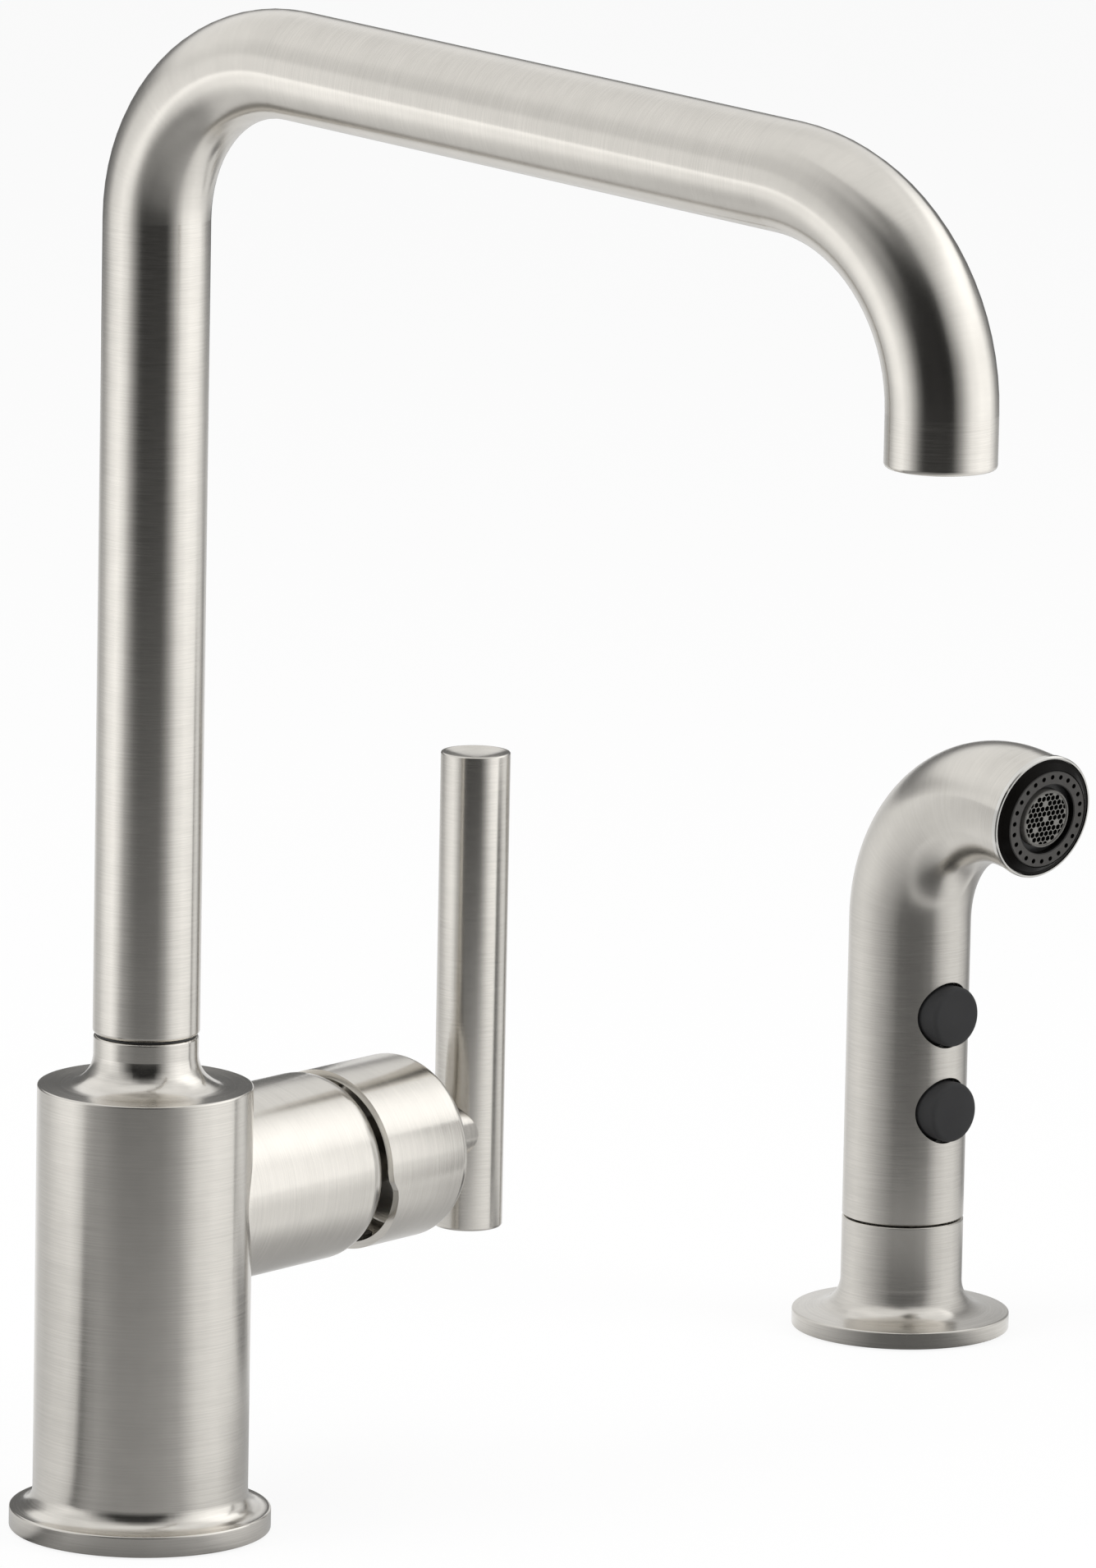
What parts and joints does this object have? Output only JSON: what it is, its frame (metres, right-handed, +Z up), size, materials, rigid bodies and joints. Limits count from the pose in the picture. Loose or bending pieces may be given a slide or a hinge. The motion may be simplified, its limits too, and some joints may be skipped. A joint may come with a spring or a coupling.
{
  "type": "kitchen faucet with side spray",
  "caption": "Lever-handled kitchen faucet with a bent tubular swivel spout on a round column, and a separate push-button hand spray in its own flanged deck holder.",
  "frame": {"origin": "the faucet column's axis where its base gasket meets the deck", "axes": "+Z up, +X along the lever boss towards the spray, -Y along the spout towards the user"},
  "size_m": [0.301, 0.2412, 0.3641],
  "materials": {
    "brushed_nickel": "satin, finely brushed",
    "bright_metal": "bright",
    "brass": "machined",
    "steel": "plain",
    "nickel_plated": "plated",
    "seal_rubber": "matte",
    "button_rubber": "soft matte",
    "nozzle_rubber": "matte",
    "ceramic": "lapped",
    "cartridge_plastic": "moulded",
    "white_plastic": "moulded",
    "dark_plastic": "moulded",
    "gloss_black": "glossy",
    "grey_plastic": "moulded",
    "plug_plastic": "moulded"
  },
  "bodies": {
    "root": {"faucet_body": "brushed_nickel", "shank": "brass", "base_gasket": "seal_rubber", "shank_rubber_washer": "seal_rubber", "shank_steel_washer": "steel", "mounting_nut": "brass", "cartridge_base": "cartridge_plastic", "port_seals": "seal_rubber", "cartridge_shell": "cartridge_plastic", "fixed_disc": "ceramic", "cartridge_nut": "brass", "bonnet": "bright_metal", "snap_ring": "steel", "glide_ring": "dark_plastic", "diverter": "cartridge_plastic", "spray_holder": "brushed_nickel", "holder_liner": "dark_plastic", "holder_gasket": "seal_rubber", "holder_shank": "brass", "holder_washer": "steel", "holder_nut": "brass"},
    "spout": {"spout_tube": "brushed_nickel", "swivel_post": "brass", "spout_seals": "seal_rubber", "aerator_housing": "brass", "stream_former": "grey_plastic", "aerator_washer": "seal_rubber"},
    "rotor": {"cartridge_rotor": "cartridge_plastic", "pivot_pin": "steel"},
    "disc": {"moving_disc": "ceramic"},
    "handle": {"handle_cap": "brushed_nickel", "handle_post": "brushed_nickel", "handle_lever": "brushed_nickel", "cartridge_stem": "steel", "set_screw": "steel", "screw_plug": "plug_plastic"},
    "coupling": {"hose_coupling": "nickel_plated", "coupling_seal": "seal_rubber"},
    "handset": {"handset_shell": "brushed_nickel", "handset_core": "white_plastic", "water_tube": "white_plastic", "head_insert": "dark_plastic", "face_rim": "bright_metal", "face_surround": "gloss_black", "nozzle_ring": "nozzle_rubber", "stream_ring": "grey_plastic", "honeycomb": "grey_plastic", "upper_button_spring": "steel", "lower_button_spring": "steel"},
    "upper_button": {"upper_button": "button_rubber"},
    "lower_button": {"lower_button": "button_rubber"}
  },
  "joints": [
    {"name": "spout_swivel", "type": "hinge", "parent": "root", "child": "spout", "pos_m": [0, 0, 0.104], "axis": [0, 0, 1], "continuous": true},
    {"name": "handle_temperature", "type": "hinge", "parent": "root", "child": "rotor", "pos_m": [0.034, 0, 0.0683], "axis": [1, 0, 0], "range_deg": [-50, 50]},
    {"name": "handle_flow", "type": "hinge", "parent": "rotor", "child": "handle", "pos_m": [0.034, 0, 0.0683], "axis": [0, 1, 0], "range_deg": [0, 20]},
    {"name": "disc_slide", "type": "slide", "parent": "rotor", "child": "disc", "axis": [0, 0, 1], "range_m": [0, 0.0039]},
    {"name": "spray_lift", "type": "slide", "parent": "root", "child": "coupling", "axis": [0, 0, 1], "range_m": [0, 0.1]},
    {"name": "spray_swivel", "type": "hinge", "parent": "coupling", "child": "handset", "pos_m": [0.25, 0, 0.0256], "axis": [0, 0, 1], "continuous": true},
    {"name": "upper_button_press", "type": "slide", "parent": "handset", "child": "upper_button", "axis": [0.153, 0.9882, 0], "range_m": [0, 0.0025], "stiffness_N_per_m": 500, "springref_m": -0.003, "deforming": ["upper_button_spring"]},
    {"name": "lower_button_press", "type": "slide", "parent": "handset", "child": "lower_button", "axis": [0.153, 0.9882, 0], "range_m": [0, 0.0025], "stiffness_N_per_m": 500, "springref_m": -0.003, "deforming": ["lower_button_spring"]}
  ],
  "couplings": [
    {"joint": "disc_slide", "follows": "handle_flow", "m_per_rad": 0.0108}
  ]
}
